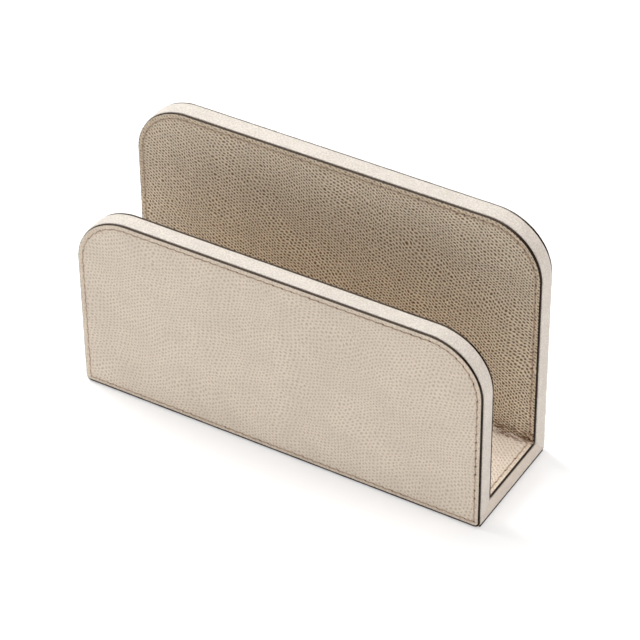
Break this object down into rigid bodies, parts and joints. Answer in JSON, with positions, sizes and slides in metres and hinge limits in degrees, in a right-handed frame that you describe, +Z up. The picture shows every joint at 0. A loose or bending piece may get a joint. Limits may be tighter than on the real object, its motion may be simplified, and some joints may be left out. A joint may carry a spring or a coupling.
{
  "type": "card holder",
  "caption": "Free-standing holder for cards and envelopes: a low front wall, a tall back wall and a flat base, covered in stitched leather with lacquered edges.",
  "frame": {"origin": "centre of the underside, on the surface that the holder stands on", "axes": "+X along the length, +Y from the low front wall to the tall back wall, +Z up"},
  "size_m": [0.2, 0.06, 0.122],
  "materials": {
    "grained_leather": "satin, small dotted grain",
    "band_leather": "satin, smooth",
    "edge_lacquer": "glossy dark brown",
    "thread": "waxed thread",
    "suede": "matt suede",
    "backing_board": "bonded fibre sheet",
    "core_board": "fibreboard",
    "dowel_wood": "beech"
  },
  "bodies": {
    "root": {"front_wall_board": "core_board", "back_wall_board": "core_board", "base_board": "core_board", "board_dowels": "dowel_wood", "front_panel_leather": "grained_leather", "front_panel_backing": "backing_board", "front_panel_edge_lacquer": "edge_lacquer", "front_panel_stitching": "thread", "back_panel_leather": "grained_leather", "back_panel_backing": "backing_board", "back_panel_edge_lacquer": "edge_lacquer", "back_panel_stitching": "thread", "inner_lining_leather": "grained_leather", "inner_lining_edge_lacquer": "edge_lacquer", "inner_lining_stitching": "thread", "front_lining_backing": "backing_board", "back_lining_backing": "backing_board", "base_lining_backing": "backing_board", "front_edge_band": "band_leather", "back_edge_band": "band_leather", "left_base_band": "band_leather", "right_base_band": "band_leather", "underside_cover": "suede", "underside_edge_lacquer": "edge_lacquer"}
  },
  "joints": []
}
